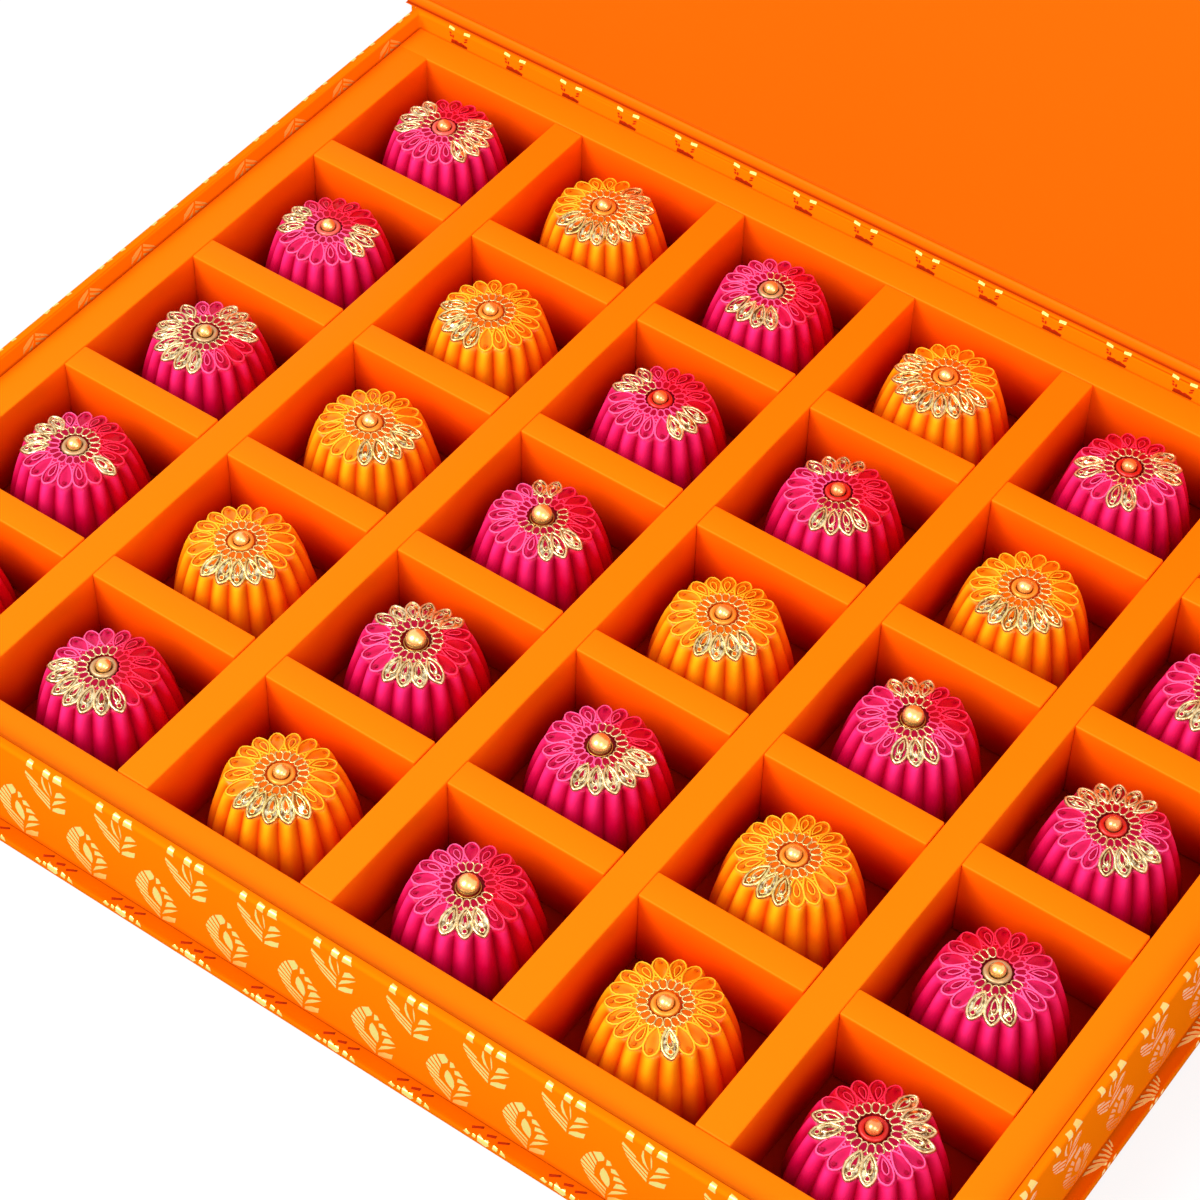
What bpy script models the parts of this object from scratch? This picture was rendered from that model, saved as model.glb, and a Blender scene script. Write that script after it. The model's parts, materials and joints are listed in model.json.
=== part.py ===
"""Rigid book-style gift box with a divided tray, thirty fluted chocolates and a hinged lid.

Units are metres and +Z is up. The origin lies under the middle of the base board, on the surface
that the box stands on. X runs along the front, Y from the front to the hinge. The lid stands open,
as in use, and is built closed under an empty on the hinge axis, which then turns it open.
"""

import math

import bmesh
import bpy
from mathutils import Matrix, Vector

MM = 0.001

# Outside of the box at its base board
BOX_WIDTH = 282.4 * MM
BOX_DEPTH = 222.8 * MM

# Tray and its compartments
COLUMNS = 6
ROWS = 5
LONG_DIVIDER_THICKNESS = 7.4 * MM
CROSS_DIVIDER_THICKNESS = 6.6 * MM
RAIL_THICKNESS = 8.0 * MM
TRAY_HEIGHT = 19.8 * MM
TRAY_FLOOR_THICKNESS = 1.5 * MM
NOTCH_CLEARANCE = 0.3 * MM
DIVIDER_EASE = 0.4 * MM

# Base, outer walls and spine
BASE_THICKNESS = 2.4 * MM
WALL_THICKNESS = 2.2 * MM
SPINE_THICKNESS = 2.0 * MM
TRAY_SLIP = 0.5 * MM
RIM_RAISE = 4.0 * MM
LEDGE = 2.5 * MM
BOARD_EASE = 0.6 * MM
SEAT_GAP = 0.3 * MM

# Lid and hinge
LID_BOARD_THICKNESS = 1.8 * MM
LINER_THICKNESS = 0.5 * MM
LINER_INSET = 1.0 * MM
LINER_EASE = 0.15 * MM
HINGE_BEAD_RADIUS = 1.0 * MM
BEAD_SIDES = 12
OPEN_ANGLE = math.radians(97.0)

# Chocolates
FLUTES = 18
CHOCOLATE_CLEARANCE = 1.75 * MM
CHOCOLATE_TAPER = 2.6 * MM
FLUTE_HEIGHT = 18.9 * MM
FLUTE_DEPTH = 1.1 * MM
PETAL_RISE = 0.7 * MM
PETAL_INSET = 1.2 * MM
DOME_RISE = 0.9 * MM
DOME_RADIUS = 7.8 * MM
DOME_RIDGE = 0.25 * MM
COLLAR_RADIUS = 4.0 * MM
COLLAR_DEPTH = 0.5 * MM
PEARL_RADIUS = 2.35 * MM
PEARL_SIDES = 12
PEARL_CENTRE_RISE = 0.4 * MM
GOLDEN_TURN = math.radians(137.5)

# The colour of each chocolate, from the front row to the back, one string for each column
COLOUR_PLAN = ("ppppp", "pyyyy", "ypppp", "ppypy", "yypyp", "ppppp")

# How far a cutter runs past what it cuts
CUT_OVERRUN = 1.0 * MM

# Sizes that follow from the ones above
WALLS_X = BOX_WIDTH - 2 * LEDGE
WALLS_Y = BOX_DEPTH - LEDGE
TRAY_X = WALLS_X - 2 * (TRAY_SLIP + WALL_THICKNESS)
TRAY_Y = WALLS_Y - 2 * (TRAY_SLIP + WALL_THICKNESS)
INNER_X = TRAY_X - 2 * RAIL_THICKNESS
INNER_Y = TRAY_Y - 2 * RAIL_THICKNESS
CELL_X = (INNER_X - (COLUMNS - 1) * LONG_DIVIDER_THICKNESS) / COLUMNS
CELL_Y = (INNER_Y - (ROWS - 1) * CROSS_DIVIDER_THICKNESS) / ROWS
CHOCOLATE_BASE_RADIUS = min(CELL_X, CELL_Y) / 2 - CHOCOLATE_CLEARANCE
CHOCOLATE_TOP_RADIUS = CHOCOLATE_BASE_RADIUS - CHOCOLATE_TAPER
BASE_FRONT = -BOX_DEPTH / 2
BASE_BACK = BOX_DEPTH / 2
TRAY_MIDDLE_Y = BASE_BACK - WALLS_Y / 2
FLOOR_BOTTOM = BASE_THICKNESS + SEAT_GAP
FLOOR_TOP = FLOOR_BOTTOM + TRAY_FLOOR_THICKNESS
TRAY_BOTTOM = FLOOR_TOP + SEAT_GAP
TRAY_TOP = TRAY_BOTTOM + TRAY_HEIGHT
RIM = TRAY_TOP + RIM_RAISE
SPINE_TOP = RIM + SEAT_GAP
SPINE_FRONT = BASE_BACK + SEAT_GAP
LID_THICKNESS = LID_BOARD_THICKNESS + SEAT_GAP + LINER_THICKNESS
AXIS_Y = SPINE_FRONT + SPINE_THICKNESS / 2
AXIS_Z = RIM + SEAT_GAP + LID_THICKNESS / 2
LID_START = HINGE_BEAD_RADIUS + SEAT_GAP
LID_LENGTH = AXIS_Y - BASE_FRONT


def clear_scene():
    for obj in list(bpy.data.objects):
        bpy.data.objects.remove(obj, do_unlink=True)


def collection(name):
    made = bpy.data.collections.new(name)
    bpy.context.scene.collection.children.link(made)
    return made


def plain_material(name, colour, roughness, metallic=0.0):
    material = bpy.data.materials.new(name)
    material.use_nodes = True
    shader = material.node_tree.nodes["Principled BSDF"]
    shader.inputs["Base Color"].default_value = (*colour, 1.0)
    shader.inputs["Roughness"].default_value = roughness
    shader.inputs["Metallic"].default_value = metallic
    material.diffuse_color = (*colour, 1.0)
    return material


def add_mesh(name, mesh_maker, where, group, *materials):
    """A new object from a bmesh, with its origin at the point given."""
    mesh = bpy.data.meshes.new(name)
    mesh_maker.normal_update()
    mesh_maker.to_mesh(mesh)
    mesh_maker.free()
    for material in materials:
        mesh.materials.append(material)
    obj = bpy.data.objects.new(name, mesh)
    obj.location = where
    group.objects.link(obj)
    return obj


def block(size):
    """A bmesh box of the given size about its own middle."""
    made = bmesh.new()
    bmesh.ops.create_cube(made, size=1.0)
    bmesh.ops.scale(made, vec=size, verts=made.verts)
    return made


def ease_edges(obj, width, segments=1):
    bevel = obj.modifiers.new("Eased edges", "BEVEL")
    bevel.width = width
    bevel.segments = segments
    bevel.limit_method = "ANGLE"
    bevel.use_clamp_overlap = False


def board(name, low, high, group, material, ease, segments=1):
    """A flat covered board between two opposite corners, with its edges eased."""
    low, high = Vector(low), Vector(high)
    obj = add_mesh(name, block(high - low), (low + high) / 2, group, material)
    ease_edges(obj, ease, segments)
    return obj


def cutter(name, low, high, group):
    low, high = Vector(low), Vector(high)
    obj = add_mesh(name, block(high - low), (low + high) / 2, group)
    obj.hide_render = True
    obj.display_type = "WIRE"
    return obj


def cut(obj, tool):
    boolean = obj.modifiers.new("Cut " + tool.name, "BOOLEAN")
    boolean.operation = "DIFFERENCE"
    boolean.object = tool


def cell_low(column, row):
    """The front left corner of a compartment, counted from zero."""
    x = -INNER_X / 2 + column * (CELL_X + LONG_DIVIDER_THICKNESS)
    y = TRAY_MIDDLE_Y - INNER_Y / 2 + row * (CELL_Y + CROSS_DIVIDER_THICKNESS)
    return x, y


def make_base(group, material):
    board("base_board", (-BOX_WIDTH / 2, BASE_FRONT, 0), (BOX_WIDTH / 2, BASE_BACK, BASE_THICKNESS),
          group, material, BOARD_EASE)


def make_walls(group, material):
    """Front and back walls run the full width, and the side walls stand between them."""
    x = WALLS_X / 2
    front = TRAY_MIDDLE_Y - WALLS_Y / 2
    back = TRAY_MIDDLE_Y + WALLS_Y / 2
    side_front = front + WALL_THICKNESS + SEAT_GAP
    side_back = back - WALL_THICKNESS - SEAT_GAP
    runs = {
        "front_wall": ((-x, front), (x, front + WALL_THICKNESS)),
        "back_wall": ((-x, back - WALL_THICKNESS), (x, back)),
        "left_wall": ((-x, side_front), (-x + WALL_THICKNESS, side_back)),
        "right_wall": ((x - WALL_THICKNESS, side_front), (x, side_back)),
    }
    for name, (low, high) in runs.items():
        board(name, (*low, FLOOR_BOTTOM), (*high, RIM), group, material, BOARD_EASE, 2)


def make_spine(group, material):
    board("spine_board", (-BOX_WIDTH / 2, SPINE_FRONT, 0),
          (BOX_WIDTH / 2, SPINE_FRONT + SPINE_THICKNESS, SPINE_TOP), group, material, BOARD_EASE)


def make_tray_floor(group, material):
    board("tray_floor", (-TRAY_X / 2, TRAY_MIDDLE_Y - TRAY_Y / 2, FLOOR_BOTTOM),
          (TRAY_X / 2, TRAY_MIDDLE_Y + TRAY_Y / 2, FLOOR_TOP), group, material, DIVIDER_EASE)


def mitred_rail(name, length, middle, turn, group, material):
    """One side of the tray's frame. Its inner face is shorter, so its ends meet the next at 45 degrees."""
    made = block(Vector((length, RAIL_THICKNESS, TRAY_HEIGHT)))
    mitre_gap = SEAT_GAP * math.sqrt(0.5)
    for vert in made.verts:
        end = math.copysign(1.0, vert.co.x)
        inward = RAIL_THICKNESS if vert.co.y > 0 else 0
        vert.co.x -= end * (inward + mitre_gap)
    bmesh.ops.rotate(made, verts=made.verts, cent=(0, 0, 0), matrix=Matrix.Rotation(turn, 3, "Z"))
    where = Vector((*middle, TRAY_BOTTOM + TRAY_HEIGHT / 2))
    ease_edges(add_mesh(name, made, where, group, material), DIVIDER_EASE)


def make_rails(group, material):
    reach_x = (TRAY_X - RAIL_THICKNESS) / 2
    reach_y = (TRAY_Y - RAIL_THICKNESS) / 2
    mitred_rail("tray_rail_front", TRAY_X, (0, TRAY_MIDDLE_Y - reach_y), 0, group, material)
    mitred_rail("tray_rail_right", TRAY_Y, (reach_x, TRAY_MIDDLE_Y), math.pi / 2, group, material)
    mitred_rail("tray_rail_back", TRAY_X, (0, TRAY_MIDDLE_Y + reach_y), math.pi, group, material)
    mitred_rail("tray_rail_left", TRAY_Y, (-reach_x, TRAY_MIDDLE_Y), -math.pi / 2, group, material)


def make_dividers(group, cutters, material):
    """Halved joints, as in an egg crate: the long dividers are notched from below over the cross ones."""
    half = TRAY_BOTTOM + TRAY_HEIGHT / 2
    reach_x = INNER_X / 2 - SEAT_GAP
    reach_y = INNER_Y / 2 - SEAT_GAP
    crossings_x = [cell_low(n, 0)[0] - LONG_DIVIDER_THICKNESS / 2 for n in range(1, COLUMNS)]
    crossings_y = [cell_low(0, n)[1] - CROSS_DIVIDER_THICKNESS / 2 for n in range(1, ROWS)]

    lower_notches = []
    for n, y in enumerate(crossings_y, 1):
        wide = CROSS_DIVIDER_THICKNESS / 2 + NOTCH_CLEARANCE
        low = (-INNER_X / 2, y - wide, TRAY_BOTTOM - CUT_OVERRUN)
        high = (INNER_X / 2, y + wide, half + NOTCH_CLEARANCE / 2)
        lower_notches.append(cutter(f"notch_below_{n}", low, high, cutters))
    upper_notches = []
    for n, x in enumerate(crossings_x, 1):
        wide = LONG_DIVIDER_THICKNESS / 2 + NOTCH_CLEARANCE
        low = (x - wide, TRAY_MIDDLE_Y - INNER_Y / 2, half - NOTCH_CLEARANCE / 2)
        high = (x + wide, TRAY_MIDDLE_Y + INNER_Y / 2, TRAY_TOP + CUT_OVERRUN)
        upper_notches.append(cutter(f"notch_above_{n}", low, high, cutters))

    for n, x in enumerate(crossings_x, 1):
        wide = LONG_DIVIDER_THICKNESS / 2
        obj = board(f"long_divider_{n}", (x - wide, TRAY_MIDDLE_Y - reach_y, TRAY_BOTTOM),
                    (x + wide, TRAY_MIDDLE_Y + reach_y, TRAY_TOP), group, material, DIVIDER_EASE)
        for notch in lower_notches:
            cut(obj, notch)
    for n, y in enumerate(crossings_y, 1):
        wide = CROSS_DIVIDER_THICKNESS / 2
        obj = board(f"cross_divider_{n}", (-reach_x, y - wide, TRAY_BOTTOM),
                    (reach_x, y + wide, TRAY_TOP), group, material, DIVIDER_EASE)
        for notch in upper_notches:
            cut(obj, notch)


def make_hinge_bead(group, material):
    """The round covered joint between the spine and the lid, on the hinge axis."""
    made = bmesh.new()
    bmesh.ops.create_cone(made, cap_ends=True, segments=BEAD_SIDES, radius1=HINGE_BEAD_RADIUS,
                          radius2=HINGE_BEAD_RADIUS, depth=BOX_WIDTH,
                          matrix=Matrix.Rotation(math.pi / 2, 4, "Y"))
    obj = add_mesh("hinge_joint", made, (0, AXIS_Y, AXIS_Z), group, material)
    obj.data.shade_smooth()
    obj.data.set_sharp_from_angle(angle=math.radians(50))


def make_lid(group, cover, lining):
    """Built shut, flat over the rims, then turned open by the empty on its axis."""
    hinge = bpy.data.objects.new("lid_hinge", None)
    hinge.location = (0, AXIS_Y, AXIS_Z)
    group.objects.link(hinge)
    top = LID_THICKNESS / 2
    lid = board("lid_board", (-BOX_WIDTH / 2, -LID_LENGTH, top - LID_BOARD_THICKNESS),
                (BOX_WIDTH / 2, -LID_START, top), group, cover, BOARD_EASE)
    liner = board("lid_liner", (-BOX_WIDTH / 2 + LINER_INSET, -LID_LENGTH + LINER_INSET, -top),
                  (BOX_WIDTH / 2 - LINER_INSET, -LID_START, -top + LINER_THICKNESS),
                  group, lining, LINER_EASE)
    lid.parent = hinge
    liner.parent = hinge
    hinge.rotation_euler = (-OPEN_ANGLE, 0, 0)


def ring(made, radius, height, count, start=0.0):
    """A closed ring of edges whose radius and height may follow the angle."""
    turned = Matrix.Rotation(start, 4, "Z")
    verts = bmesh.ops.create_circle(made, segments=count, radius=1.0, matrix=turned)["verts"]
    for vert in verts:
        angle = math.atan2(vert.co.y, vert.co.x)
        out = radius(angle)
        vert.co = (out * math.cos(angle), out * math.sin(angle), height(angle))
    return verts


def ring_edges(verts):
    members = set(verts)
    found = [edge for vert in verts for edge in vert.link_edges if set(edge.verts) <= members]
    return list(dict.fromkeys(found))


def bridge(made, lower, upper):
    bmesh.ops.bridge_loops(made, edges=ring_edges(lower) + ring_edges(upper))


def chocolate_mesh(name, shell, gold):
    """A fluted, tapering chocolate with a petalled dome, a sunk collar and a pearl.

    Two points a flute carry its ridge and its groove, up to a ring of petals that the flutes end in.
    """
    made = bmesh.new()
    sides = 2 * FLUTES
    collar_z = FLUTE_HEIGHT + PETAL_RISE + DOME_RISE
    pearl_z = collar_z + PEARL_CENTRE_RISE

    def ridge(angle):
        return (1 + math.cos(FLUTES * angle)) / 2

    def fluted(radius, depth):
        return lambda angle: radius - depth * (1 - ridge(angle))

    def level(height):
        return lambda angle: height

    def round_ring(radius):
        return lambda angle: radius

    base = ring(made, fluted(CHOCOLATE_BASE_RADIUS, FLUTE_DEPTH), level(0), sides)
    top = ring(made, fluted(CHOCOLATE_TOP_RADIUS, FLUTE_DEPTH), level(FLUTE_HEIGHT), sides)
    petal_z = FLUTE_HEIGHT + PETAL_RISE
    petals = ring(made, fluted(CHOCOLATE_TOP_RADIUS - PETAL_INSET, FLUTE_DEPTH),
                  lambda angle: petal_z - DOME_RIDGE * (1 - ridge(angle)), sides)
    dome_z = petal_z + DOME_RISE / 2
    dome = ring(made, round_ring(DOME_RADIUS),
                lambda angle: dome_z - DOME_RIDGE * (1 - ridge(angle)), sides)
    collar = ring(made, round_ring(COLLAR_RADIUS), level(collar_z), PEARL_SIDES)
    seat = ring(made, round_ring(PEARL_RADIUS), level(collar_z - COLLAR_DEPTH), PEARL_SIDES)
    waist = ring(made, round_ring(PEARL_RADIUS), level(pearl_z), PEARL_SIDES)
    crown = math.sqrt(0.5) * PEARL_RADIUS
    shoulder = ring(made, round_ring(crown), level(pearl_z + crown), PEARL_SIDES)

    stack = [base, top, petals, dome, collar, seat, waist, shoulder]
    for lower, upper in zip(stack, stack[1:]):
        bridge(made, lower, upper)
    bmesh.ops.contextual_create(made, geom=ring_edges(base))
    tip = made.verts.new((0, 0, pearl_z + PEARL_RADIUS))
    for edge in ring_edges(shoulder):
        made.faces.new((*edge.verts, tip))
    bmesh.ops.recalc_face_normals(made, faces=made.faces)
    for face in made.faces:
        face.smooth = True
        face.material_index = int(min(vert.co.z for vert in face.verts) > pearl_z - COLLAR_DEPTH)
    mesh = bpy.data.meshes.new(name)
    made.to_mesh(mesh)
    made.free()
    mesh.materials.append(shell)
    mesh.materials.append(gold)
    mesh.set_sharp_from_angle(angle=math.radians(50))
    return mesh


def make_chocolates(group, shells, gold):
    """One chocolate stands in the middle of each compartment, each turned a little further."""
    meshes = {key: chocolate_mesh("chocolate_" + key, shell, gold) for key, shell in shells.items()}
    for column in range(COLUMNS):
        for row in range(ROWS):
            key = COLOUR_PLAN[column][row]
            x, y = cell_low(column, row)
            obj = bpy.data.objects.new(f"chocolate_c{column + 1}_r{row + 1}", meshes[key])
            obj.location = (x + CELL_X / 2, y + CELL_Y / 2, FLOOR_TOP + SEAT_GAP)
            obj.rotation_euler = (0, 0, GOLDEN_TURN * (column * ROWS + row))
            group.objects.link(obj)


def main():
    clear_scene()
    parts = collection("chocolate_gift_box")
    cutters = collection("cutters")
    printed = plain_material("printed_orange_paper", (1.0, 0.27, 0.01), 0.5)
    tray = plain_material("tray_orange_paper", (1.0, 0.22, 0.003), 0.55)
    lining = plain_material("liner_orange_paper", (1.0, 0.17, 0.002), 0.55)
    gold = plain_material("gold_lustre", (0.85, 0.55, 0.2), 0.3, 0.9)
    shells = {
        "p": plain_material("pink_chocolate", (0.85, 0.005, 0.12), 0.35),
        "y": plain_material("yellow_chocolate", (1.0, 0.33, 0.003), 0.35),
    }
    make_base(parts, printed)
    make_walls(parts, printed)
    make_spine(parts, printed)
    make_tray_floor(parts, tray)
    make_rails(parts, tray)
    make_dividers(parts, cutters, tray)
    make_hinge_bead(parts, lining)
    make_lid(parts, printed, lining)
    make_chocolates(parts, shells, gold)


main()
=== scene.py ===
"""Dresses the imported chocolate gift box: covered boards, gold foil print, divided tray and pralines.

Sizes are in metres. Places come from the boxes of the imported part's own pieces.
"""

import json
import math
from random import Random

import bmesh
import bpy
from mathutils import Matrix, Vector


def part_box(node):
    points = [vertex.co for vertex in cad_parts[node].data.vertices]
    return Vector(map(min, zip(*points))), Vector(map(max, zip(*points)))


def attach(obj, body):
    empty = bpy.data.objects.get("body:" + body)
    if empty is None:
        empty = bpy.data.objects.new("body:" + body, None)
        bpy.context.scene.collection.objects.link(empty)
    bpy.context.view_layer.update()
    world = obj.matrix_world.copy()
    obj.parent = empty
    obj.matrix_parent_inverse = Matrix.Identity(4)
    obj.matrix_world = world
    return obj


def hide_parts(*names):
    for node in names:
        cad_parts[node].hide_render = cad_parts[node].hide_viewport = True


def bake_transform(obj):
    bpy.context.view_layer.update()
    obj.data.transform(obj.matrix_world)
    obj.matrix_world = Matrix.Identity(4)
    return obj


MM = 0.001

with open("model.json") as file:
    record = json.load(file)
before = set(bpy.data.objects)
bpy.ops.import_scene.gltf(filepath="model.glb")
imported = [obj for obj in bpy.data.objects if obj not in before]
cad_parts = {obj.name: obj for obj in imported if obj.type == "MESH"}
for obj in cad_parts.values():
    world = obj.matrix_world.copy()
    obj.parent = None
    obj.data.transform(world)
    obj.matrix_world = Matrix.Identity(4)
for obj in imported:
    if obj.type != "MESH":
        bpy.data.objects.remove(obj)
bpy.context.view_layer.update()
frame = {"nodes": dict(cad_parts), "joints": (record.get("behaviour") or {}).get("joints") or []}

# Tray layout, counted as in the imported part
COLUMNS = 6
ROWS = 5
GOLDEN_TURN = math.radians(137.5)
COLOUR_PLAN = ("ppppp", "pyyyy", "ypppp", "ppypy", "yypyp", "ppppp")

# Covered boards
PAPER_LIFT = 0.05 * MM
WALL_THICKNESS = 2.2 * MM
WALL_ROUND = 0.8 * MM
BOARD_ROUND = 0.5 * MM
TRAY_ROUND = 0.35 * MM
LINING_ROUND = 0.18 * MM
RAIL_OVERLAP = 1.0 * MM
SEAM = 0.12 * MM
ROUND_STEPS = 4
SMOOTH_BELOW = 40

# Foil print: a leaf motif in half-drop rows, whose upper row runs over the rim
PITCH = 17.15 * MM
SIDE_PITCH = 15.1 * MM
BACK_PITCH = 15.75 * MM
ROW_PITCH = 13.3 * MM
ONE_ROW = 30 * MM
FIRST_ROW = 1.7 * MM
UNDER_TRAY_TOP = 0.4 * MM
LEDGE_PRINTED = 2.45 * MM
LID_MARGIN = 0.7 * MM
FOIL_LIFT = 0.045 * MM
FOIL_THICKNESS = 0.08 * MM
STROKE_SLIMMING = 0.11
# Heights on the wall between which the foil turns from its painted reflection below to its gold above
DULL_BELOW = 23.5 * MM
BRIGHT_ABOVE = 26 * MM

# Pralines, in mm
FLUTES = 18
FLUTE_STEPS = 8
PETAL_START = 5.1
PETAL_LENGTH = 5.75
PETAL_WIDTH = 1.47
PETAL_SWAY = 0.022
VEIN_SWAY = 0.03
VEINED_SHARE = 0.6
HOLLOW_DEPTH = 0.46
HOLLOWS_ABOVE = 19.3
SHOULDER = 18.9
# Painted shade deepens below SHADED_FOOT towards the foot and inside COLLAR_RADIUS, and painted highlight
# lightens the crests from CRESTS_FROM over CRESTS_RISE
SHADED_FOOT = 17.0
CRESTS_FROM = 11.5
CRESTS_RISE = 7.0
COLLAR_RADIUS = 3.3
BACK_ROUNDNESS = 0.94
WIRE_LIFT = 0.35
HOLE_LIFT = 0.06
HOLE_DEPTH = 0.25
# The usual redder side, as an angle from the camera's side: partly a real spray, partly painted shade away
# from the main lamp
USUAL_BLUSH_AND_SHADE = 95
FLAKE_AT = 8.5
BED_SHARE = 0.7


# Plain modelling steps


def held(value, low=0.0, high=1.0):
    """The value, kept between these limits."""
    return min(max(value, low), high)


def lay_down():
    """Nothing selected, in object mode."""
    if bpy.context.mode != "OBJECT":
        bpy.ops.object.mode_set(mode="OBJECT")
    bpy.ops.object.select_all(action="DESELECT")


def take(obj):
    lay_down()
    obj.select_set(True)
    bpy.context.view_layer.objects.active = obj


def settle(obj):
    """Puts the object's place and scale into its mesh."""
    take(obj)
    bpy.ops.object.transform_apply(location=True, rotation=True, scale=True)
    return obj


def add_object(name, data):
    obj = bpy.data.objects.new(name, data)
    bpy.context.scene.collection.objects.link(obj)
    return obj


def edit_all():
    bpy.ops.object.mode_set(mode="EDIT")
    bpy.ops.mesh.select_all(action="SELECT")


def draw_out(x=0.0, z=0.0):
    bpy.ops.mesh.extrude_region_move(TRANSFORM_OT_translate={"value": (x, 0, z)})


def close_up():
    """Turns every face of what is being edited outwards, and leaves edit mode."""
    bpy.ops.mesh.select_all(action="SELECT")
    bpy.ops.mesh.normals_make_consistent(inside=False)
    bpy.ops.object.mode_set(mode="OBJECT")


def smooth(obj, angle=None):
    """Smooth all over, or only over edges that turn by less than this many degrees."""
    if angle is None:
        obj.data.polygons.foreach_set("use_smooth", [True] * len(obj.data.polygons))
    else:
        take(obj)
        bpy.ops.object.shade_smooth_by_angle(angle=math.radians(angle))
    return obj


def block(name, low, high):
    low, high = Vector(low), Vector(high)
    lay_down()
    bpy.ops.mesh.primitive_cube_add(size=1.0, location=(low + high) / 2)
    obj = bpy.context.object
    obj.name = name
    obj.scale = high - low
    return settle(obj)


def disc(corners, radius=1.0):
    lay_down()
    bpy.ops.mesh.primitive_circle_add(vertices=corners, radius=radius, fill_type="NGON")
    return bpy.context.object


def torus(segments, sides, radius, wire):
    lay_down()
    bpy.ops.mesh.primitive_torus_add(major_segments=segments, minor_segments=sides, major_radius=radius,
                                     minor_radius=wire)
    return smooth(bpy.context.object)


def modify(obj, kind, **settings):
    """Adds a modifier with these settings and applies it."""
    take(obj)
    modifier = obj.modifiers.new(kind.title(), kind)
    for key, value in settings.items():
        setattr(modifier, key, value)
    bpy.ops.object.modifier_apply(modifier=modifier.name)


def round_edges(obj, radius):
    modify(obj, "BEVEL", width=radius, segments=ROUND_STEPS, limit_method="ANGLE",
           angle_limit=math.radians(SMOOTH_BELOW), use_clamp_overlap=False)
    return smooth(obj, SMOOTH_BELOW)


def board(name, low, high, radius, finish):
    """A covered board with rounded edges."""
    obj = round_edges(block(name, low, high), radius)
    obj.data.materials.append(finish)
    return obj


def unite(name, objs):
    lay_down()
    for obj in objs:
        obj.select_set(True)
    bpy.context.view_layer.objects.active = objs[0]
    if len(objs) > 1:
        bpy.ops.object.join()
    objs[0].name = name
    return objs[0]


def mind(obj, body, slot, *nodes):
    """Hands a finished piece to its body and hides the nodes it stands for. The slot argument is not used."""
    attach(obj, body)
    if nodes:
        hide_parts(*nodes)


# Materials


class Signal:
    """A socket of a material. Arithmetic on it adds the Math nodes."""

    def __init__(self, finish, socket):
        self.finish = finish
        self.socket = socket

    def math(self, operation, *values, clamp=False):
        return self.finish.node("ShaderNodeMath", dict(enumerate(values)), operation=operation,
                                use_clamp=clamp)

    def __add__(self, other):
        return self.math("ADD", self, other)

    def __radd__(self, other):
        return self.math("ADD", other, self)

    def __sub__(self, other):
        return self.math("SUBTRACT", self, other)

    def __rsub__(self, other):
        return self.math("SUBTRACT", other, self)

    def __mul__(self, other):
        return self.math("MULTIPLY", self, other)

    def __rmul__(self, other):
        return self.math("MULTIPLY", other, self)

    def clamped(self):
        return self.math("ADD", self, 0.0, clamp=True)


class Finish:
    """A material that is being mixed. A colour is three numbers."""

    def __init__(self, name, **constants):
        self.material = bpy.data.materials.new(name)
        self.material.use_nodes = True
        self.tree = self.material.node_tree
        self.shader = self.tree.nodes["Principled BSDF"]
        for key, value in constants.items():
            self.set(key.replace("_", " "), value)

    def node(self, kind, sockets=None, out=0, **settings):
        made = self.tree.nodes.new(kind)
        for key, value in settings.items():
            setattr(made, key, value)
        for key, value in (sockets or {}).items():
            self.feed(made.inputs[key], value)
        return Signal(self, made.outputs[out])

    def feed(self, socket, value):
        if isinstance(value, Signal):
            self.tree.links.new(value.socket, socket)
        elif socket.type == "RGBA":
            socket.default_value = (*value, 1.0)
        else:
            socket.default_value = value

    def set(self, name, value):
        self.feed(self.shader.inputs[name], value)

    def place(self):
        return self.node("ShaderNodeTexCoord", out="Object")

    def height(self):
        return self.node("ShaderNodeSeparateXYZ", {0: self.place()}, out=2)

    def grain(self, scale, detail=2.0, stretch=(1, 1, 1)):
        """Noise over the piece, from 0 to 1, with this many grains a metre."""
        at = self.node("ShaderNodeMapping", {"Vector": self.place(), "Scale": stretch})
        return self.node("ShaderNodeTexNoise", {"Vector": at, "Scale": scale, "Detail": detail})

    def mix(self, amount, first, second, blend="MIX"):
        return self.node("ShaderNodeMix", {0: amount, 6: first, 7: second}, out=2, data_type="RGBA",
                         blend_type=blend, clamp_factor=True)

    def ramp(self, share, stops):
        made = self.node("ShaderNodeValToRGB", {0: share})
        elements = made.socket.node.color_ramp.elements
        while len(elements) < len(stops):
            elements.new(1.0)
        for element, (place, tone) in zip(elements, stops):
            element.position = place
            element.color = (*tone, 1.0)
        return made

    def tint(self, channel):
        """One channel of the piece's own painted attribute."""
        painted = self.node("ShaderNodeAttribute", attribute_name="tint")
        return self.node("ShaderNodeSeparateColor", {0: painted}, out=channel)

    def done(self, base, rough, relief, distance):
        """Sets what changes over the surface, and gives the material."""
        self.set("Base Color", base)
        self.set("Roughness", rough)
        self.set("Normal", self.node("ShaderNodeBump", {"Distance": distance * MM, "Height": relief}))
        return self.material


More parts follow.
